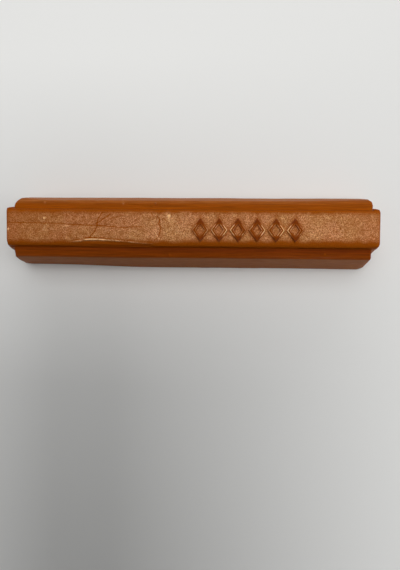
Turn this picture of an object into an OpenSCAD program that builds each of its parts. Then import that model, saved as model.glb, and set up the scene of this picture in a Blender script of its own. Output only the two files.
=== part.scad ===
// Furniture repair wax stick: one bar of hard wax, cast in an open tray mould and lying on its
// poured face. A raised band runs along the top between two lower shoulders, and runs on past
// them at both ends. A row of plain raised marks stands on the band.
// Millimetres. +X runs along the stick, +Z is up, the origin is the middle of the poured face.

/* [Stick] */
// Overall length, measured at the poured face
stick_length = 80; // [60:1:120]
// Overall width, measured at the poured face
stick_width = 15.6; // [14.5:0.1:24]
// Height from the poured face to the flat top of the band
stick_height = 10; // [8:0.1:12]
// Lean of every wall, which lets the stick out of its mould
draft_angle = 12.5; // [5:0.5:15]
// Height of the upright rim round the poured face
rim_height = 0.3; // [0.1:0.1:1]

/* [Band] */
// Width of the band where it meets the shoulders
band_width = 7.9; // [6:0.1:9]
// Height of the band above the shoulders
band_height = 1.3; // [0.6:0.1:2]
// Radius of the band's top edges and corners
band_edge = 0.8; // [0.3:0.1:1]
// Length by which the band runs past the shoulders at each end
band_overrun = 1.5; // [0.5:0.1:3]

/* [Shoulders] */
// Radius of the shoulders' outer edges and corners
shoulder_edge = 0.4; // [0.2:0.1:0.8]

/* [Marks] */
// Number of raised marks
mark_count = 6; // [1:1:8]
// Width of one mark along the stick
mark_width = 3.6; // [3:0.1:4.5]
// Gap between one mark and the next
mark_gap = 0.2; // [0.1:0.1:1]
// Width of the rounded bead that outlines a mark
bead_width = 0.85; // [0.5:0.05:1]
// Height of the bead above the band
bead_height = 0.45; // [0.2:0.05:0.5]
// Distance of the row's middle from the stick's middle
row_offset = 11.6; // [0:0.1:14]
// Flat left between the marks and the band's near edge rounding
near_margin = 0.1; // [0:0.05:1]
// Flat left between the marks and the band's far edge rounding
far_margin = 0.9; // [0:0.05:1]

/* [Hidden] */
$fn = 32;
bead_steps = 8;
wax = [0.62, 0.33, 0.11];
shoulder_height = stick_height - band_height;

// How far a leaning wall moves in over a rise that starts at the rim
function lean(rise) = (rise - rim_height) * tan(draft_angle);

// Radius of a corner at the poured face, for a wall that ends in a rounded top edge
function foot_radius(height, edge) = edge / cos(draft_angle) + lean(height - edge);

// The band's walls go down inside the shoulders to the poured face
core_width = band_width + 2 * lean(shoulder_height);
band_flat = core_width - 2 * foot_radius(stick_height, band_edge);

// A mark fills the flat of the band, less its two margins
mark_length = band_flat - near_margin - far_margin;
mark_side = (near_margin - far_margin) / 2;
mark_pitch = mark_width + mark_gap;
// Each side of a mark lies this far from the mark's middle, at the bead's outer foot
side_distance = mark_width * mark_length / (2 * norm([mark_width, mark_length]));

// Block with leaning walls, an upright rim and balls for its top edges and corners
module cast_block(length, width, height, edge) {
    foot = foot_radius(height, edge);
    hull()
        for (x = [-1, 1] * (length / 2 - foot), y = [-1, 1] * (width / 2 - foot))
            translate([x, y, 0]) {
                cylinder(h = rim_height, r = foot);
                translate([0, 0, height - edge]) sphere(r = edge);
            }
}

// The lozenge that a mark's bead follows, drawn at one step of the bead's half-round profile
function lozenge_ring(step) =
    let(angle = 180 * step / bead_steps,
        inset = (1 - cos(angle)) * bead_width / 2,
        size = (1 - inset / side_distance) / 2,
        x = size * mark_width,
        y = size * mark_length,
        z = bead_height * sin(angle))
    [[x, 0, z], [0, y, z], [-x, 0, z], [0, -y, z]];

// One mark: the bead closed along its flat underside
module lozenge() {
    rings = bead_steps + 1;
    polyhedron(
        points = [for (step = [0 : bead_steps]) each lozenge_ring(step)],
        faces = [for (ring = [0 : bead_steps], corner = [0 : 3])
            let(next_ring = 4 * ((ring + 1) % rings), next_corner = (corner + 1) % 4)
            [4 * ring + corner, next_ring + corner, next_ring + next_corner, 4 * ring + next_corner]]);
}

module wax_bar() {
    color(wax) {
        cast_block(stick_length, core_width, stick_height, band_edge);
        cast_block(stick_length - 2 * band_overrun, stick_width, shoulder_height, shoulder_edge);
    }
}

module raised_marks() {
    color(wax)
        for (i = [0 : mark_count - 1])
            translate([row_offset + (i - (mark_count - 1) / 2) * mark_pitch, mark_side, stick_height])
                lozenge();
}

wax_bar();
raised_marks();
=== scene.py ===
import bmesh
import bpy
import numpy as np
from mathutils import Euler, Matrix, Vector, noise


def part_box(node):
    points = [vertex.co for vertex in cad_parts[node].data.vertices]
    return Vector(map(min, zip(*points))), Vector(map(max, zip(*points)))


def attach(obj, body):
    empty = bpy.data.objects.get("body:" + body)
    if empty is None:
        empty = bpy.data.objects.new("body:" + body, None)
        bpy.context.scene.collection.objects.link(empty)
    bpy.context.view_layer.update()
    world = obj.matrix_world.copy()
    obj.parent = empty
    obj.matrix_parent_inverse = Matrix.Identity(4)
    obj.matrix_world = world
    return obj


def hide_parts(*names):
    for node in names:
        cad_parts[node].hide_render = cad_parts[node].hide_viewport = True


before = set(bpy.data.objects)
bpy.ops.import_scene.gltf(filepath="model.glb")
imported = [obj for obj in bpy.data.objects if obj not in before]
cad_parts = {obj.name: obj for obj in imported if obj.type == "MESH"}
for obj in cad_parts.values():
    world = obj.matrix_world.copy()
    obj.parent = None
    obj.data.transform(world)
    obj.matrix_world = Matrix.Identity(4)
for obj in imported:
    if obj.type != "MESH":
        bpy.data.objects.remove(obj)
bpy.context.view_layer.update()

scene = bpy.context.scene

# Wax stick
# One bar of hard orange-brown wax, poured warm into an open tray mould and knocked out cold. Its
# band, shoulders and raised marks are all one casting, so one mesh stands for both solids: they
# are cast again as one fine skin, and the steps of that skin are then smoothed away.
MM = 0.001
JOIN_MM = 0.001
SKIN_MM = 0.11
SMOOTHING_ROUNDS = 5
SMOOTH_IN = 0.5
SMOOTH_OUT = -0.52

casting = bmesh.new()
for solid in ("wax_bar", "raised_marks"):
    casting.from_mesh(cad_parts[solid].data)
bmesh.ops.remove_doubles(casting, verts=casting.verts, dist=JOIN_MM * MM)
stick_mesh = bpy.data.meshes.new("wax_stick")
casting.to_mesh(stick_mesh)
casting.free()
stick = bpy.data.objects.new("wax_stick", stick_mesh)
scene.collection.objects.link(stick)


def settle(piece):
    """Keep what a piece's modifiers make as its own mesh."""
    finished = piece.evaluated_get(bpy.context.evaluated_depsgraph_get())
    made = bpy.data.meshes.new_from_object(finished)
    piece.modifiers.clear()
    piece.data = made


recast = stick.modifiers.new("recast", "REMESH")
recast.mode = "VOXEL"
recast.voxel_size = SKIN_MM * MM
settle(stick)

skin = bmesh.new()
skin.from_mesh(stick.data)
for factor in (SMOOTH_IN, SMOOTH_OUT) * SMOOTHING_ROUNDS + (SMOOTH_IN,):
    bmesh.ops.smooth_vert(skin, verts=skin.verts, factor=factor,
                          use_axis_x=True, use_axis_y=True, use_axis_z=True)
skin.to_mesh(stick.data)
skin.free()

# Shape of the wax stick
# The casting is a little uneven, its near edges have rounded off in use and its corners differ:
# two are worn round and some are sharper than the rest. The poured face sank as the wax cooled.

# Sizes of the solids, in millimetres, as are all sizes and places on the stick below
RIM_HEIGHT = 0.3
WALL_LEAN = 0.222
BAND_RISE = 1.3
BAND_OVERRUN = 1.5
BAND_FOOT = 3.95
TINY = 0.01
low, high = (np.array(corner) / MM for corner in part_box("wax_bar"))
marks_low, marks_high = (np.array(corner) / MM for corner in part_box("raised_marks"))
band_top = high[2]
shoulder_top = band_top - BAND_RISE
shoulder_end = high[0] - BAND_OVERRUN


def points_of(mesh):
    """Every point of a mesh, in millimetres."""
    flat = np.empty(len(mesh.vertices) * 3)
    mesh.vertices.foreach_get("co", flat)
    return flat.reshape(-1, 3) / MM


def normals_of(mesh):
    """The direction that the skin faces at every point of a mesh."""
    flat = np.empty(len(mesh.vertices) * 3, np.float32)
    mesh.vertex_normals.foreach_get("vector", flat)
    return flat.reshape(-1, 3)


def ease(values, start, end):
    """0 at start, 1 at end, with a smooth change between."""
    share = np.clip((values - start) / (end - start), 0, 1)
    return share * share * (3 - 2 * share)


def hump(distance, width):
    """1 in the middle, falling softly to nothing over about two widths."""
    return np.exp(-((distance / width) ** 2))


def profile(values, knots):
    """A height that follows a few knots, each a place and a height."""
    return np.interp(values, *np.array(knots).T)


def waver(points, size, drift):
    """Smooth unevenness from -1 to 1, with lumps of about that size; each drift gives another one."""
    start = Vector((drift, drift, drift))
    return np.array([noise.noise(Vector(point) / size + start) for point in points])


def past_corner(points, corner):
    """How far each point lies out from a corner's middle, along and across, and its distance."""
    turn = np.sign(np.array(corner))
    out = np.clip((points[:, :2] - corner) * turn, 0, None)
    out[out.min(axis=1) == 0] = 0
    return out * turn, np.maximum(np.linalg.norm(out, axis=1), TINY)


def square_up(points, corner, amount, weight):
    """Push a rounded corner out towards a square one; corner is the middle of its rounding."""
    out, reach = past_corner(points, corner)
    further_way = np.maximum(np.abs(out).max(axis=1), TINY)
    gain = np.clip(reach / further_way - 1, 0, 1) * amount * weight
    points[:, :2] += out * gain[:, None]


def round_off(points, corner, radius, weight):
    """Pull a corner in to a larger radius; corner is the middle of its new rounding."""
    out, reach = past_corner(points, corner)
    points[:, :2] -= out * (weight * np.clip(1 - radius / reach, 0, None))[:, None]


# Points of the skin: along is X, side is Y and height is Z, each a view of the points in place.
# A pair of values named ALONG, ACROSS or HEIGHT is where a soft change starts and where it is full
place = points_of(stick.data)
along, side, height = place.T
facing = normals_of(stick.data)

# Corners: each has the middle of its rounding and how far it is squared up
BAND_CORNERS = (((-37.2, 3.0), 0.6), ((37.2, 3.0), 0.3),
                ((-37.2, -3.0), 0.5), ((37.2, -3.0), 0.3))
SHOULDER_CORNERS = (((-36.3, 5.6), 0.8), ((36.3, 5.6), 0.8),
                    ((-36.3, -5.6), 0.75), ((36.3, -5.6), 0.25))
OVERRUN_ALONG = (0.1, 0.5)
STEP_HEIGHT = (shoulder_top + 0.05, shoulder_top + 0.3)


def end_reach(points):
    """How far each point lies towards its end of the stick, as if the leaning walls were upright."""
    return np.abs(points[:, 0]) + WALL_LEAN * (points[:, 2] - RIM_HEIGHT)


past_shoulders = ease(end_reach(place) - shoulder_end, *OVERRUN_ALONG)
of_band = np.maximum(past_shoulders, ease(height, *STEP_HEIGHT))
of_shoulders = 1 - of_band
for corners, weight in ((BAND_CORNERS, of_band), (SHOULDER_CORNERS, of_shoulders)):
    for corner, amount in corners:
        square_up(place, corner, amount, weight)

# Ends of the band: at the top the right one is a little longer and the left one shorter. Below it
# both bulge to the far side, and the right one is tucked in on its near side
LEFT_STRETCH = -0.05
RIGHT_STRETCH = 0.09
STRETCH_ALONG = (36, 37.5)
STRETCH_HEIGHT = (3, 8)
END_BULGE = 0.27
BULGE_HEIGHT = (band_top - 0.1, band_top - 0.8)
LEFT_BULGE_ACROSS = (-1, 3)
RIGHT_TUCK = 0.22
TUCK_ACROSS = (-1, -3.5)
TUCK_HEIGHT = (8.6, 4)
at_right = along > 0
stretch = np.where(at_right, RIGHT_STRETCH, LEFT_STRETCH)
along += stretch * ease(np.abs(along), *STRETCH_ALONG) * ease(height, *STRETCH_HEIGHT)
bulge_across = np.where(at_right, 1, ease(side, *LEFT_BULGE_ACROSS))
side += END_BULGE * past_shoulders * ease(height, *BULGE_HEIGHT) * bulge_across
side += RIGHT_TUCK * past_shoulders * ease(side, *TUCK_ACROSS) * ease(height, *TUCK_HEIGHT) * at_right

# Near edge of the band, rounder than the far one
NEAR_DROP = 0.28
NEAR_DROP_ACROSS = (-2.3, -3.75)
NEAR_DROP_HEIGHT = (shoulder_top + 0.1, band_top - 0.6)
height -= NEAR_DROP * ease(side, *NEAR_DROP_ACROSS) * ease(height, *NEAR_DROP_HEIGHT)

# Foot: spread on the far side, and set back on the near side towards the left end
FOOT_SPREAD = 0.1
FOOT_SPREAD_ACROSS = (6.5, 7.5)
FOOT_BACK = ((-38, 0.54), (-28, 0.48), (-21, 0.28), (-14, 0.06), (-9, 0), (2, 0), (6, 0.04))
FOOT_BACK_ACROSS = (-1, -5)
FOOT_BACK_HEIGHT = (6.0, 0.5)
side += FOOT_SPREAD * ease(side, *FOOT_SPREAD_ACROSS)
side += profile(along, FOOT_BACK) * ease(side, *FOOT_BACK_ACROSS) * ease(height, *FOOT_BACK_HEIGHT)

# Shoulders: each falls away a little towards its outer edge, and between its ends the far wall
# leans in more
SHOULDER_FALL = 0.1
SHOULDER_FALL_ACROSS = (4.9, 6.0)
SHOULDER_DEPTH = 0.4
FAR_LEAN = ((-36.5, -0.18), (-30, 0.18), (25, 0.18), (33, -0.03))
FAR_LEAN_ACROSS = (5.0, 5.8)
FAR_LEAN_HEIGHT = (1, shoulder_top)
on_shoulder = hump(height - shoulder_top, SHOULDER_DEPTH)
height -= SHOULDER_FALL * ease(np.abs(side), *SHOULDER_FALL_ACROSS) * on_shoulder
side -= profile(along, FAR_LEAN) * ease(side, *FAR_LEAN_ACROSS) * ease(height, *FAR_LEAN_HEIGHT)

# Corners of the shoulders: three reach further, the near left one bellies out, the far right one is
# worn round at the top and the far left one all the way down
FAR_REACH = ((1, 0.2), (-1, 0.14))
FAR_REACH_ACROSS = (3.9, 4.6)
NEAR_REACH = 0.2
NEAR_REACH_ACROSS = (-3.8, -4.0)
NEAR_REACH_FADE_ACROSS = (-5.6, -4.2)
REACH_ALONG = (33, 36.5)
BELLY = 0.05
BELLY_MIDDLE = 2.0
BELLY_WIDTH = 2.2
BELLY_ALONG = (-33.5, -36.5)
BELLY_ACROSS = (-4.2, -6.2)
DIAGONAL = 0.7
RIGHT_ROUND = (35.79, 4.98)
RIGHT_RADIUS = 1.0
RIGHT_ROUND_HEIGHT = (3, 7)
LEFT_ROUND = (-34.68, 4.02)
LEFT_RADIUS = 2.1
LEFT_WIDENING = 0.345
for end, reach in FAR_REACH:
    along += end * reach * ease(side, *FAR_REACH_ACROSS) * ease(end * along, *REACH_ALONG) * of_shoulders
near_reach = NEAR_REACH * ease(side, *NEAR_REACH_FADE_ACROSS) * ease(side, *NEAR_REACH_ACROSS)
along -= near_reach * ease(-along, *REACH_ALONG) * of_shoulders
belly = BELLY * hump(height - BELLY_MIDDLE, BELLY_WIDTH) * ease(along, *BELLY_ALONG)
belly = belly * ease(side, *BELLY_ACROSS) * of_shoulders
place[:, :2] -= DIAGONAL * belly[:, None]
below_shoulder = shoulder_top - height
right_radius = RIGHT_RADIUS + WALL_LEAN * below_shoulder
left_radius = LEFT_RADIUS + LEFT_WIDENING * below_shoulder
round_off(place, RIGHT_ROUND, right_radius, of_shoulders * ease(height, *RIGHT_ROUND_HEIGHT))
round_off(place, LEFT_ROUND, left_radius, of_shoulders)

# Poured face: sunk in its middle
SINK = 0.45
SINK_ALONG = (37.3, 29.5)
SINK_ACROSS = (6.8, 2.5)
FACES_DOWN = (-0.5, -0.9)
POURED_BELOW = 1
sunk = ease(np.abs(side), *SINK_ACROSS) * ease(np.abs(along), *SINK_ALONG)
height += SINK * sunk * ease(facing[:, 2], *FACES_DOWN) * (height < POURED_BELOW)

# Marks: flat on top, with crisp edges
MARK_RISE = 0.4
FLAT_FROM = 0.4
ROW_FADE = 0.2


def in_row(points):
    """1 within the row of marks along the stick."""
    start, end = marks_low[0], marks_high[0]
    return ease(points[:, 0], start - ROW_FADE, start) * ease(points[:, 0], end + ROW_FADE, end)


rise = np.clip(height - band_top, 0, None)
height += in_row(place) * (MARK_RISE * ease(rise, 0, FLAT_FROM) - rise)

# Unevenness of the whole casting, as lumps of three sizes with their depths, and lines that the
# mould dragged along its walls and shoulders
UNEVENNESS = ((13.0, 0.07), (3.2, 0.03), (0.9, 0.008))
NEXT_DRIFT = 17.3
DRAG = 0.025
DRAG_SIZE = 0.3
DRAWN_OUT = (0.04, 1, 1)
DRAG_HEIGHT = (shoulder_top + 0.6, shoulder_top + 0.3)
DRAG_ACROSS = (2.9, 3.3)
even = place.copy()
dragged = np.maximum(ease(height, *DRAG_HEIGHT), ease(side, *DRAG_ACROSS))
for number, (size, depth) in enumerate(UNEVENNESS):
    place += facing * (depth * waver(even, size, drift=number * NEXT_DRIFT))[:, None]
drag = DRAG * dragged * waver(even * DRAWN_OUT, DRAG_SIZE, drift=4.4)
place += facing * drag[:, None]

# Wear of the wax stick
# It has been handled: a knife has shaved one edge of the band and left a burr, the band and the
# shoulders are scratched, and crumbs of wax stick to them.


def across(points, route):
    """Distance on the top from each point to a drawn line."""
    nearest = np.full(len(points), np.inf)
    for start, end in zip(np.array(route[:-1]), np.array(route[1:])):
        run = end - start
        share = np.clip((points[:, :2] - start) @ run / (run @ run), 0, 1)
        gap = np.linalg.norm(points[:, :2] - start - share[:, None] * run, axis=1)
        nearest = np.minimum(nearest, gap)
    return nearest


# Shaved edge: cut down past this lip, which stands up as a ragged burr with a hollow behind it. How
# much is shaved off and how strong the burr is are given along the stick
LIP = ((-25.0, -3.05), (-23.8, -2.93), (-22.4, -2.85), (-21.7, -2.6), (-20, -2.5), (-18.2, -2.55),
       (-15.2, -2.72), (-12.2, -2.97), (-9.5, -3.2), (-6.7, -3.3))
SHAVED = ((-25, 0), (-22.5, 1), (-8.7, 1), (-6.7, 0))
SHAVED_DEPTH = 0.22
SHAVED_ACROSS = (0.02, 0.22)
BURR = ((-24.2, 0), (-23.4, 0.8), (-22.2, 0.9), (-21.8, 0.2), (-21.4, 1.4), (-18.4, 1.4), (-17, 0.8),
        (-12, 0.55), (-7, 0))
BURR_RISE = 0.2
BURR_PLACE = -0.07
BURR_WIDTH = 0.12
RAGGED_SIZE = 0.8
RAGGED_MEAN = 0.7
RAGGED_SWING = 0.9
HOLLOW_DEPTH = 0.1
HOLLOW_PLACE = -0.36
HOLLOW_WIDTH = 0.13
BAND_HEIGHT = (shoulder_top + 0.35, shoulder_top + 0.6)
ALONG_ONLY = (1, 0, 0)


def shaving(points):
    """How far each point lies past the lip, how much is shaved off there and how strong the burr is."""
    past = profile(points[:, 0], LIP) - points[:, 1]
    ragged = RAGGED_MEAN + RAGGED_SWING * waver(points * ALONG_ONLY, RAGGED_SIZE, drift=3.3)
    return past, profile(points[:, 0], SHAVED), profile(points[:, 0], BURR) * ragged


on_band = ease(height, *BAND_HEIGHT)
past_lip, shaved, burr = shaving(place)
height -= SHAVED_DEPTH * shaved * on_band * ease(past_lip, *SHAVED_ACROSS)
height += BURR_RISE * burr * on_band * hump(past_lip - BURR_PLACE, BURR_WIDTH)
height -= HOLLOW_DEPTH * burr * on_band * hump(past_lip - HOLLOW_PLACE, HOLLOW_WIDTH)

# Groove where the band meets the near shoulder
GROOVE_DEPTH = 0.12
GROOVE_WIDTH = 0.28
GROOVE_RISE = 0.35
groove = hump(side + BAND_FOOT, GROOVE_WIDTH) * hump(height - shoulder_top, GROOVE_RISE)
place -= facing * (GROOVE_DEPTH * groove)[:, None]

# Line that the mould left along the far rounding of the band
MOULD_LINE = 3.72
MOULD_LINE_DEPTH = 0.03
MOULD_LINE_WIDTH = 0.09
MOULD_LINE_HEIGHT = (shoulder_top + 0.3, shoulder_top + 0.6)


def along_line(points):
    """1 on the mould's line, falling softly to nothing beside it."""
    return hump(points[:, 1] - MOULD_LINE, MOULD_LINE_WIDTH) * ease(points[:, 2], *MOULD_LINE_HEIGHT)


place -= facing * (MOULD_LINE_DEPTH * along_line(place))[:, None]

# Scratches: each is a line with its width and depth, first on the band and then on the shoulders.
# It is jagged, comes and goes, and has low banks beside it. A depth below zero is a raised scrape
SHAKE = 0.12
SHAKE_SIZE = 0.5
BROKEN_SIZE = 1.1
BROKEN_MEAN = 0.8
BROKEN_SWING = 0.7
BANKS = 0.3
TOP_HEIGHT = (band_top - 0.5, band_top - 0.25)
FLAT = (1, 1, 0)
BAND_SCRATCHES = (
    (((-37.8, 0.9), (-28.3, 0.8), (-23.5, 0.5), (-18.3, 0.4), (-14.2, 0), (-11.6, 0.1), (-9.7, 0.2)),
     0.085, 0.06),
    (((-20.6, -2.1), (-19.4, -0.8), (-19, 0.3), (-18.7, 1.9), (-17.9, 3)), 0.13, 0.05),
    (((-19.2, 0.7), (-17.7, 1.7), (-16.3, 2.7)), 0.11, 0.06),
    (((-7.9, 3), (-7.4, 2.1)), 0.1, 0.06),
    (((-6.7, 2.4), (-6.1, 1.6), (-6.4, 0.8), (-5.9, 0.1), (-6, -0.5), (-6.2, -1.5), (-6.9, -2.3)),
     0.1, 0.09),
    (((-17.6, 0.8), (-15.8, 2), (-13.7, 2.4)), 0.1, 0.02),
    (((-9.9, 2.8), (-9.4, 1.9)), 0.1, 0.03),
    (((-26.1, 0), (-24.8, 0.3)), 0.13, -0.05),
    (((-29.3, 0.75), (-29.8, 0.2), (-30.1, -0.6)), 0.12, -0.04),
    (((-7, -0.9), (-6.4, -2.2)), 0.13, -0.06),
    (((-4.3, 1.9), (-4.1, 1.2)), 0.18, -0.06),
)
SHOULDER_SCRATCHES = (
    (((-12.9, 4.9), (-7.9, 4.5)), 0.12, 0.1),
    (((-7, -4.3), (-6.6, -5), (-7.1, -5.8)), 0.12, 0.06),
    (((25.2, -5.6), (29.6, -5.9)), 0.13, -0.05),
)


def shaken(points):
    """Points moved a little to and fro, so that a line drawn through them is jagged."""
    moved = points.copy()
    moved[:, 0] += SHAKE * waver(points, SHAKE_SIZE, drift=1.1)
    moved[:, 1] += SHAKE * waver(points, SHAKE_SIZE, drift=6.1)
    return moved


on_top = ease(height, *TOP_HEIGHT)
on_shoulder = hump(height - shoulder_top, SHOULDER_DEPTH)
drawn = shaken(place)
broken = BROKEN_MEAN + BROKEN_SWING * waver(place * FLAT, BROKEN_SIZE, drift=9.7)
for scratches, mask in ((BAND_SCRATCHES, on_top), (SHOULDER_SCRATCHES, on_shoulder)):
    for route, width, depth in scratches:
        gap = across(drawn, route)
        banks = BANKS * hump(gap - 2 * width, width)
        height -= depth * broken * mask * (hump(gap, width) - banks)

# Crumbs that stick out, and pits, each with its place, width and height; the last pit is in the
# near wall, so its place is along and up
BAND_SPOTS = (((-29.9, 1.8), 0.21, 0.24), ((-37.4, -0.45), 0.24, 0.24), ((-4.25, 2.35), 0.3, 0.22),
              ((-34, -0.55), 0.16, -0.1), ((-28.9, -0.45), 0.16, -0.1), ((-8.4, 1.6), 0.18, -0.12),
              ((-20.8, -0.4), 0.2, 0.06), ((-16.9, -0.3), 0.2, 0.06), ((-12.5, -1.9), 0.25, 0.06))
SHOULDER_SPOTS = (((-13.9, 5.1), 0.25, 0.2), ((-7.2, 5.2), 0.22, 0.22), ((-30.3, 5.3), 0.25, 0.14),
                  ((-4.2, -5.4), 0.25, 0.12), ((27.4, -5.0), 0.2, 0.14))
WALL_PIT = (-8.1, 6.5)
WALL_PIT_DEPTH = 0.15
WALL_PIT_WIDTH = 0.2
NEAR_WALL = -5


def on_spot(points, spot, width):
    """1 in the middle of a spot on the top, falling softly to nothing round it."""
    return hump(np.linalg.norm(points[:, :2] - spot, axis=1), width)


for spots, mask in ((BAND_SPOTS, on_top), (SHOULDER_SPOTS, on_shoulder)):
    for spot, width, rise in spots:
        height += rise * mask * on_spot(place, spot, width)
pit = hump(np.linalg.norm(place[:, ::2] - WALL_PIT, axis=1), WALL_PIT_WIDTH)
side += WALL_PIT_DEPTH * (side < NEAR_WALL) * pit

# The skin stays inside the solids' box, and is thinned everywhere but on the band's worn top
MOST_TRIANGLES = 190000
INSIDE = 0.01
WORN_FROM = band_top - 0.45
np.clip(place, low + INSIDE, np.maximum(high, marks_high) - INSIDE, out=place)
stick.data.vertices.foreach_set("co", (place * MM).ravel())
stick.data.update()
loose = stick.vertex_groups.new(name="loose")
loose.add(np.flatnonzero(height < WORN_FROM).tolist(), 1.0, "REPLACE")
thin = stick.modifiers.new("thin", "DECIMATE")
thin.ratio = min(1.0, MOST_TRIANGLES / (2 * len(stick.data.polygons)))
thin.vertex_group = "loose"
settle(stick)
stick.vertex_groups.clear()
stick.data.shade_smooth()

# Scuffing of the wax stick
# Handling has scuffed the top of the band pale, while the recesses are as smooth as they were cast.
# Crumbs and thin burrs let the light through, and the walls keep a slight gloss. Light and shade are
# painted in as well:
# highlights on the crumbs and the burr, glints on the marks' edges, sheen on the walls, the far rim and
# along the band, and shade on the near shoulder, in the hollow behind the burr and along the mould's
# line.

# Wear and painted light, as one value: -0.5 where nothing touches the wax and lower where shade is
# painted, 0 where it is smooth,
# 1 where it is scuffed pale and 2 on crumbs, the burr and the marks' edges, where it paints highlights
# and glints. On the band it follows these knots along the stick, which also paint a sheen that is
# weakest at the left end, and fades at its edges
SCUFF_AND_SHEEN_ALONG = ((-40, 0.4), (-28, 0.62), (-15, 0.76), (-4, 0.98), (20, 1), (28, 0.92), (33, 0.74), (40, 0.62))
RUBBED_HEIGHT = (band_top - 0.5, band_top - 0.3)
FAR_LOSS = 0.15
FAR_LOSS_ACROSS = (-0.5, 2.8)
FAR_FADE_ACROSS = (3.5, 2.4)
NEAR_FADE = ((-10, -3.3), (20, -2.95))
NEAR_FADE_WIDTH = 1.3
END_FADE_ALONG = (38.1, 37.4)
EDGE_DRIFT = 0.3
EDGE_DRIFT_SIZE = 1.6
EDGE_DRAWN_IN = (1, 0.3, 0)
place = points_of(stick.data)
along, side, height = place.T
tilted = 1 - normals_of(stick.data)[:, 2]
on_top = ease(height, *RUBBED_HEIGHT)
edge_drift = EDGE_DRIFT * waver(place * EDGE_DRAWN_IN, EDGE_DRIFT_SIZE, drift=5.1)
near_fade = profile(along, NEAR_FADE) - edge_drift
# Along the stick the scuffing also paints a sheen, weakest at the left end
wear_and_painted_light = profile(along, SCUFF_AND_SHEEN_ALONG) * on_top * (1 - FAR_LOSS * ease(side, *FAR_LOSS_ACROSS))
wear_and_painted_light *= ease(side - edge_drift, *FAR_FADE_ACROSS)
wear_and_painted_light *= ease(side, near_fade, near_fade + NEAR_FADE_WIDTH)
wear_and_painted_light *= ease(np.abs(along) - edge_drift, *END_FADE_ALONG)

# Scratches are dark, the more so the deeper they are, and scrapes are pale
SCRATCHED = -0.25
SCRATCHED_PER_MM = 14
SCRATCHED_SHARE = (0.5, 1)
SCRAPED = 0.7
drawn = shaken(place)
for route, width, depth in BAND_SCRATCHES:
    marked = on_top * hump(across(drawn, route), width)
    if depth > 0:
        share = np.clip(SCRATCHED_PER_MM * depth, *SCRATCHED_SHARE)
        wear_and_painted_light += marked * share * (SCRATCHED - wear_and_painted_light)
    else:
        wear_and_painted_light += marked * SCRAPED

# The burr is pale and carries a painted highlight, the hollow behind it and the mould's line are
# darkened as painted shade, and the shaved edge is dark
PALE_BURR_HIGHLIGHT = 2.2
BURR_HIGHLIGHT_WIDTH = 0.11
HOLLOW_SHADE = -0.3
HOLLOW_SHADE_PLACE = -0.38
SHAVED_LOSS = 0.15
SHAVED_LOSS_ACROSS = (0.1, 0.3)
SHAVED_LOSS_HEIGHT = (shoulder_top + 0.2, shoulder_top + 0.4)
MOULD_LINE_SHADE = 0.3
past_lip, shaved, burr = shaving(place)
# Painted highlight along the burr's crest
on_burr = np.clip(burr, 0, None) * on_top * hump(past_lip - BURR_PLACE, BURR_HIGHLIGHT_WIDTH)
# Painted shade in the hollow behind the burr
in_hollow = np.clip(burr, 0, 1) * hump(past_lip - HOLLOW_SHADE_PLACE, HOLLOW_WIDTH)
wear_and_painted_light += in_hollow * (HOLLOW_SHADE - wear_and_painted_light)
wear_and_painted_light += PALE_BURR_HIGHLIGHT * on_burr
shaved_face = shaved * ease(past_lip, *SHAVED_LOSS_ACROSS) * ease(height, *SHAVED_LOSS_HEIGHT)
# The mould's line is darkened as painted shade
wear_and_painted_light -= SHAVED_LOSS * shaved_face + MOULD_LINE_SHADE * along_line(place)

# The marks are untouched wax, with pale glints painted along their edges in places but not at the tips.
# They shelter the band round them
UNTOUCHED = -0.5
MARKS_IN_ROW = 6
MARK_GAP = 0.2
MARK_HEIGHT = (band_top + 0.04, band_top + 0.14)
BEAD_WIDTH = 0.85
EDGE_IN = 0.2
EDGE_WIDTH = 0.1
INNER_EDGE_SHARE = 0.6
EDGE_TILT = (0.04, 0.12)
EDGE_GLINT = 3.2
EDGE_GLINT_SIZE = 1.8
EDGE_GLINT_MEAN = 0.7
EDGE_GLINT_SWING = 0.7
TIP_WITHOUT_GLINT = (0.6, 0.3)
SHELTER = 0.5
SHELTER_ACROSS = (-0.9, -0.1)
EDGE_GLOSS = 0.5


def into_bead(points):
    """How far each point lies inside the outer edge of its mark, and how near it is to a tip."""
    pitch = (marks_high[0] - marks_low[0] + MARK_GAP) / MARKS_IN_ROW
    size = np.array((pitch - MARK_GAP, marks_high[1] - marks_low[1]))
    number = np.clip((points[:, 0] - marks_low[0] + MARK_GAP / 2) // pitch, 0, MARKS_IN_ROW - 1)
    off_x = np.abs(points[:, 0] - marks_low[0] - number * pitch - size[0] / 2) / (size[0] / 2)
    off_y = np.abs(points[:, 1] - (marks_low[1] + marks_high[1]) / 2) / (size[1] / 2)
    return (1 - off_x - off_y) * size.prod() / (2 * np.hypot(*size)), off_y


row = in_row(place)
on_marks = row * ease(height, *MARK_HEIGHT)
depth_in, to_tip = into_bead(place)
outer_edge = hump(depth_in - EDGE_IN, EDGE_WIDTH)
inner_edge = hump(depth_in - BEAD_WIDTH + EDGE_IN, EDGE_WIDTH)
patchy = EDGE_GLINT_MEAN + EDGE_GLINT_SWING * waver(place * FLAT, EDGE_GLINT_SIZE, drift=7.7)
# Painted glints: pale lines along the marks' outer and inner edges, in patches
painted_glints = (outer_edge + INNER_EDGE_SHARE * inner_edge) * on_marks * ease(to_tip, *TIP_WITHOUT_GLINT) * patchy
wear_and_painted_light *= 1 - SHELTER * row * on_top * ease(depth_in, *SHELTER_ACROSS)
wear_and_painted_light += on_marks * (UNTOUCHED - wear_and_painted_light) + EDGE_GLINT * painted_glints
gloss = EDGE_GLOSS * (on_marks * ease(tilted, *EDGE_TILT) + on_burr)

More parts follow.
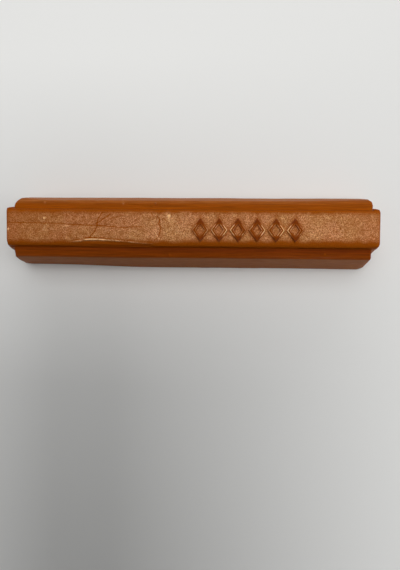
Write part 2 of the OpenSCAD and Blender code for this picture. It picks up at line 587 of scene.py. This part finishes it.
# The walls are a little pale, partly with dust and partly with painted sheen, dusty in blotches on the
# ends of the band, and glossy up to the shoulders' outer edges. The far shoulder is scuffed towards its
# rim, where a pale line is partly scuffing and partly painted sheen, and the near one is darkened by
# painted shade that follows these knots
WALL_HEIGHT = (shoulder_top - 0.3, shoulder_top - 0.9)
WALL_DUST_AND_SHEEN = 0.2
WALL_GLOSS = 0.13
OUTER_EDGE_ACROSS = (5.4, 5.9)
END_ALONG = (38.1, 38.5)
BLOTCH_SIZE = 2.6
BLOTCH_MEAN = 0.15
BLOTCH_SWING = 0.2
BLOTCH_HEIGHT = (band_top - 0.6, band_top - 5)
NEAR_END_LOSS = 0.7
NEAR_END_ACROSS = (0, -5)
FAR_SHOULDER_RUBBING = 0.12
FAR_SHOULDER_ACROSS = (4.9, 5.4)
FAR_RIM_SCUFF_AND_SHEEN = 0.1
FAR_RIM = 5.75
FAR_RIM_WIDTH = 0.2
FAR_SHOULDER = ((20, 1), (34, 0.3))
NEAR_SHOULDER_SHADE_ALONG = ((-35, 0.78), (0, 1))
NEAR_SHOULDER_SHADE = ((3.7, 0), (4.05, -0.7), (5.0, -0.5), (5.8, -0.42), (6.3, 0))
RUBBED_SHOULDER_DEPTH = 0.5
on_wall = ease(height, *WALL_HEIGHT)
on_shoulder = hump(height - shoulder_top, RUBBED_SHOULDER_DEPTH)
at_ends = ease(end_reach(place), *END_ALONG)
blotches = BLOTCH_MEAN + BLOTCH_SWING * waver(place, BLOTCH_SIZE, drift=2.2)
end_dust = blotches * ease(height, *BLOTCH_HEIGHT) * (1 - NEAR_END_LOSS * ease(side, *NEAR_END_ACROSS))
# The walls' pale film is partly dust and partly painted sheen
wear_and_painted_light += WALL_DUST_AND_SHEEN * on_wall * (1 - at_ends) + end_dust * at_ends
gloss += WALL_GLOSS * np.maximum(on_wall, on_shoulder * ease(np.abs(side), *OUTER_EDGE_ACROSS))
# Pale line along the far rim, partly scuffing and partly painted sheen
far_rim = FAR_RIM_SCUFF_AND_SHEEN * hump(side - FAR_RIM, FAR_RIM_WIDTH)
far_scuff_and_sheen = FAR_SHOULDER_RUBBING * ease(side, *FAR_SHOULDER_ACROSS) + far_rim
wear_and_painted_light += far_scuff_and_sheen * profile(along, FAR_SHOULDER) * on_shoulder
# Painted shade on the near shoulder, darkest by the groove and less towards the left end
wear_and_painted_light += profile(-side, NEAR_SHOULDER_SHADE) * profile(along, NEAR_SHOULDER_SHADE_ALONG) * on_shoulder

# Crumbs are paler than the wax that they stick to, and those on the band also carry a painted highlight
BAND_CRUMB_HIGHLIGHT = 2.1
SHOULDER_CRUMB = 0.3
CRUMB_RISE = 0.1
pebbling = on_top.copy()
for spots, paler in ((BAND_SPOTS, BAND_CRUMB_HIGHLIGHT), (SHOULDER_SPOTS, SHOULDER_CRUMB)):
    for spot, width, rise in spots:
        if rise > CRUMB_RISE:
            crumb = on_spot(place, spot, width)
            wear_and_painted_light += paler * crumb * (height > shoulder_top - SHOULDER_DEPTH)
            pebbling = np.maximum(pebbling, crumb)
for name, values in (("wear_and_painted_light", wear_and_painted_light), ("gloss", gloss), ("pebbled", pebbling), ("walls", on_wall)):
    layer = stick.data.attributes.new(name, "FLOAT", "POINT")
    layer.data.foreach_set("value", values.astype(np.float32))

# Colour of the wax stick
# The wax is coloured right through and lets a little light in. It is deep brown where it is clean
# and smooth, streaked along the mould on its sides, and pebbled pink and tan on its scuffed top. Its
# deepest brown also paints shade, and its palest tone paints highlights and glints.
wax = bpy.data.materials.new("wax")
wax.use_nodes = True
nodes = wax.node_tree.nodes
link = wax.node_tree.links.new
shader = nodes["Principled BSDF"]
where = nodes.new("ShaderNodeTexCoord")


def attribute(name):
    """One of the values that the skin holds at its points."""
    made = nodes.new("ShaderNodeAttribute")
    made.attribute_name = name
    return made.outputs["Fac"]


def grain(size_mm, detail, roughness, stretch=1, turn=0):
    """Noise over the wax, with lumps of about that size, drawn out along a turned X axis."""
    laid = nodes.new("ShaderNodeMapping")
    laid.inputs["Rotation"].default_value = (0, 0, turn)
    laid.inputs["Scale"].default_value = (1 / stretch, 1, 1)
    link(where.outputs["Object"], laid.inputs["Vector"])
    made = nodes.new("ShaderNodeTexNoise")
    made.inputs["Scale"].default_value = 1 / (size_mm * MM)
    made.inputs["Detail"].default_value = detail
    made.inputs["Roughness"].default_value = roughness
    link(laid.outputs["Vector"], made.inputs["Vector"])
    return made.outputs["Fac"]


def fit(value, old_range, new_range):
    """A value moved from one range to another, and held inside it."""
    made = nodes.new("ShaderNodeMapRange")
    link(value, made.inputs["Value"])
    for name, limit in zip(("From Min", "From Max", "To Min", "To Max"), (*old_range, *new_range)):
        made.inputs[name].default_value = limit
    return made.outputs["Result"]


def combine(operation, first, second):
    """Two values multiplied or added."""
    made = nodes.new("ShaderNodeMath")
    made.operation = operation
    link(first, made.inputs[0])
    link(second, made.inputs[1])
    return made.outputs[0]


def blend(share, first, second, kind="RGBA"):
    """A colour or value between two; a colour may be given as it is."""
    made = nodes.new("ShaderNodeMix")
    made.data_type = kind
    sockets = [s for s in made.inputs if s.enabled]
    link(share, sockets[0])
    for socket, part in zip(sockets[1:], (first, second)):
        if isinstance(part, tuple):
            socket.default_value = (*part, 1)
        else:
            link(part, socket)
    return [s for s in made.outputs if s.enabled][0]


def shaded(colour, factor):
    """A colour made lighter or darker by a factor."""
    made = nodes.new("ShaderNodeVectorMath")
    made.operation = "SCALE"
    link(colour, made.inputs[0])
    link(factor, made.inputs["Scale"])
    return made.outputs["Vector"]


# The deepest wax colour serves both the untouched marks and the painted shade. The palest serves the
# crumbs and the burr and the painted highlights and glints. The dust colour is also the painted sheen on
# the walls and the far rim
DEEP_WAX_AND_SHADE = (0.105, 0.010, 0.0006)
SMOOTH_WAX = (0.295, 0.066, 0.002)
PINK_SCUFF = (0.71, 0.355, 0.168)
TAN_SCUFF = (0.685, 0.370, 0.160)
DUST_AND_SHEEN_COLOUR = (0.63, 0.40, 0.18)
PALE_WAX_AND_GLINT = (0.95, 0.54, 0.25)
pebbles = grain(0.18, 2, 0.6)
lumps = grain(1.0, 2, 0.55)
patches = grain(5.5, 1, 0.5)
flecks = grain(0.4, 1, 0.5, stretch=4, turn=0.9)
streaks = grain(0.2, 3, 0.65, stretch=30)
film = grain(1.2, 3, 0.5, stretch=2)
wear_and_light = attribute("wear_and_painted_light")
pebbled = attribute("pebbled")
walls = attribute("walls")

# Ranges: most of a noise lies in NOISE, and the levels are levels of wear and painted light
NOISE = (0.3, 0.7)
SHARE = (0, 1)
CLEAN_AND_SHADE_LEVEL = (-0.9, 0)
SCUFF_LEVEL = (0, 1)
PALE_AND_GLINT_LEVEL = (1.1, 1.9)
PATCH_NOISE = (0.4, 0.6)
FLECK_NOISE = (0.6, 0.72)
FLECK_SCUFF = (0, 0.25)
SIDE_SCUFF = (0.4, 0.6)
LUMP_SCUFF = (0.7, 1.3)
FILM_SPECKLE = (0.94, 1.06)
WALL_SPECKLE = (0.88, 1.12)
LEDGE_SPECKLE = (0.72, 1.28)
TOP_SPECKLE = (0.77, 1.23)

# Clean wax, darkened where shade is painted, and scuffs over it whose strength follows the pebbles on
# top and the streaks beside it
sides = blend(walls, streaks, film, kind="FLOAT")
clean_and_shaded_colour = blend(fit(wear_and_light, CLEAN_AND_SHADE_LEVEL, SHARE), DEEP_WAX_AND_SHADE, SMOOTH_WAX)
top_colour = blend(fit(patches, PATCH_NOISE, SHARE), PINK_SCUFF, TAN_SCUFF)
scuff_colour = blend(pebbled, DUST_AND_SHEEN_COLOUR, top_colour)
top_scuff = combine("MULTIPLY", fit(pebbles, NOISE, SHARE), fit(lumps, NOISE, LUMP_SCUFF))
scuff = blend(pebbled, fit(sides, NOISE, SIDE_SCUFF), top_scuff, kind="FLOAT")
flecked_scuff = combine("ADD", scuff, fit(flecks, FLECK_NOISE, FLECK_SCUFF))
scuff_share = combine("MULTIPLY", fit(wear_and_light, SCUFF_LEVEL, SHARE), flecked_scuff)
wax_colour = blend(scuff_share, clean_and_shaded_colour, scuff_colour)

# Speckle over both, and over that the pale crumbs and burr with their painted highlights and the glints
# painted on the marks' edges
wall_speckle = combine("MULTIPLY", fit(film, NOISE, FILM_SPECKLE), fit(streaks, NOISE, WALL_SPECKLE))
side_speckle = blend(walls, fit(streaks, NOISE, LEDGE_SPECKLE), wall_speckle, kind="FLOAT")
speckle = blend(pebbled, side_speckle, fit(pebbles, NOISE, TOP_SPECKLE), kind="FLOAT")
finished_colour = blend(fit(wear_and_light, PALE_AND_GLINT_LEVEL, SHARE), shaded(wax_colour, speckle), PALE_WAX_AND_GLINT)

ROUGH_LEVEL = (-0.1, 0.6)
ROUGHNESS = (0.5, 0.75)
COAT_ROUGHNESS = 0.2
SPECULAR_LEVEL = 0.02
LIGHT_LET_IN = 0.15
LIGHT_REACH = (1, 0.35, 0.1)
LIGHT_REACH_MM = 1
RELIEF_MM = 0.05
link(finished_colour, shader.inputs["Base Color"])
link(fit(wear_and_light, ROUGH_LEVEL, ROUGHNESS), shader.inputs["Roughness"])
link(attribute("gloss"), shader.inputs["Coat Weight"])
shader.inputs["Coat Roughness"].default_value = COAT_ROUGHNESS
shader.inputs["Specular IOR Level"].default_value = SPECULAR_LEVEL
shader.inputs["Subsurface Weight"].default_value = LIGHT_LET_IN
shader.inputs["Subsurface Radius"].default_value = LIGHT_REACH
shader.inputs["Subsurface Scale"].default_value = LIGHT_REACH_MM * MM
relief = nodes.new("ShaderNodeBump")
relief.inputs["Distance"].default_value = RELIEF_MM * MM
relief.inputs["Strength"].default_value = 1.0
link(blend(pebbled, sides, pebbles, kind="FLOAT"), relief.inputs["Height"])
link(relief.outputs["Normal"], shader.inputs["Normal"])
stick.data.materials.clear()
stick.data.materials.append(wax)
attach(stick, "root")
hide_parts("wax_bar", "raised_marks")

# Floor and flag
# A plain pale table top, much larger than the stick, and a black card held over the stick's near
# left side, which keeps the light off it from above as a studio flag does.
FLOOR_HALF = 0.7
FLOOR_COLOUR = (0.75, 0.75, 0.735)
FLOOR_ROUGHNESS = 0.6
FLAG_LOW = (-0.062, -0.150)
FLAG_HIGH = (0.017, 0.002)
FLAG_LEVEL = 0.097
FLAG_COLOUR = (0.02, 0.02, 0.02)
FLAG_ROUGHNESS = 0.9
SHEET_SPECULAR_LEVEL = 0.2


def sheet(name, low_corner, high_corner, level, colour, roughness):
    """A flat rectangle that belongs to the stage."""
    middle = (Vector(low_corner) + Vector(high_corner)) / 2
    length, width = Vector(high_corner) - Vector(low_corner)
    made = bmesh.new()
    bmesh.ops.create_grid(made, x_segments=1, y_segments=1, size=0.5)
    bmesh.ops.scale(made, verts=made.verts, vec=(length, width, 1))
    bmesh.ops.translate(made, verts=made.verts, vec=(middle.x, middle.y, level))
    mesh = bpy.data.meshes.new(name)
    made.to_mesh(mesh)
    made.free()
    paint = bpy.data.materials.new(name)
    paint.use_nodes = True
    sockets = paint.node_tree.nodes["Principled BSDF"].inputs
    sockets["Base Color"].default_value = (*colour, 1)
    sockets["Roughness"].default_value = roughness
    sockets["Specular IOR Level"].default_value = SHEET_SPECULAR_LEVEL
    mesh.materials.append(paint)
    piece = bpy.data.objects.new(name, mesh)
    scene.collection.objects.link(piece)
    return piece


sheet("floor", (-FLOOR_HALF, -FLOOR_HALF), (FLOOR_HALF, FLOOR_HALF), 0, FLOOR_COLOUR, FLOOR_ROUGHNESS)
flag = sheet("flag", FLAG_LOW, FLAG_HIGH, FLAG_LEVEL, FLAG_COLOUR, FLAG_ROUGHNESS)
flag.visible_camera = False

# Light
# A dim even room with a pale backdrop, which only the view and what mirrors it show, and five soft
# boxes: two large ones above, one to the right, one to the left and a long low one on the far side.
ROOM_LIGHT = 0.03
BACKDROP = 0.72
world = bpy.data.worlds.new("room")
world.use_nodes = True
room = world.node_tree
ray = room.nodes.new("ShaderNodeLightPath")
mirrored = room.nodes.new("ShaderNodeMath")
seen = room.nodes.new("ShaderNodeMath")
brightness = room.nodes.new("ShaderNodeMapRange")
for either in (mirrored, seen):
    either.operation = "MAXIMUM"
room.links.new(ray.outputs["Is Glossy Ray"], mirrored.inputs[0])
room.links.new(ray.outputs["Is Transmission Ray"], mirrored.inputs[1])
room.links.new(ray.outputs["Is Camera Ray"], seen.inputs[0])
room.links.new(mirrored.outputs[0], seen.inputs[1])
room.links.new(seen.outputs[0], brightness.inputs["Value"])
brightness.inputs["To Min"].default_value = ROOM_LIGHT
brightness.inputs["To Max"].default_value = BACKDROP
room.links.new(brightness.outputs["Result"], room.nodes["Background"].inputs["Strength"])
room.nodes["Background"].inputs["Color"].default_value = (1, 1, 1, 1)
scene.world = world

# Each soft box has its position, width and depth in metres, and its power in watts
SOFT_BOXES = (
    ("overhead", (0, 0, 1.0), 0.7, 0.7, 5.4),
    ("far_overhead", (0, 0.45, 0.89), 1.0, 0.5, 3.2),
    ("right", (0.74, 0, 0.67), 0.6, 0.3, 1.9),
    ("left", (-0.62, -0.15, 0.77), 0.5, 0.3, 1.2),
    ("far", (0, 0.95, 0.31), 1.2, 0.25, 1.9),
)
for name, position, width, depth, power in SOFT_BOXES:
    lamp = bpy.data.lights.new(name, "AREA")
    lamp.shape = "RECTANGLE"
    lamp.size = width
    lamp.size_y = depth
    lamp.energy = power
    soft_box = bpy.data.objects.new(name, lamp)
    soft_box.location = position
    soft_box.rotation_euler = (-Vector(position)).to_track_quat("-Z", "Y").to_euler()
    soft_box.visible_camera = False
    scene.collection.objects.link(soft_box)

# Camera
# Held almost straight above the stick, a little to the near right of its middle, and looking down.
# Its lens is given in pixels of the picture, whose height is the longer side.
CAMERA_MM = (5.346, -9.716, 90.991)
CAMERA_TURN = np.radians((-1.232, 2.252, 0.663))
SENSOR_MM = 36
FOCAL_PIXELS = 400.6
PICTURE_HEIGHT = 570
NEAREST_MM = 5
view = bpy.data.cameras.new("camera")
view.sensor_width = SENSOR_MM
view.lens = SENSOR_MM * FOCAL_PIXELS / PICTURE_HEIGHT
view.clip_start = NEAREST_MM * MM
camera = bpy.data.objects.new("camera", view)
camera.location = Vector(CAMERA_MM) * MM
camera.rotation_euler = Euler(CAMERA_TURN, "XYZ")
scene.collection.objects.link(camera)
scene.camera = camera
scene.view_settings.view_transform = "Standard"
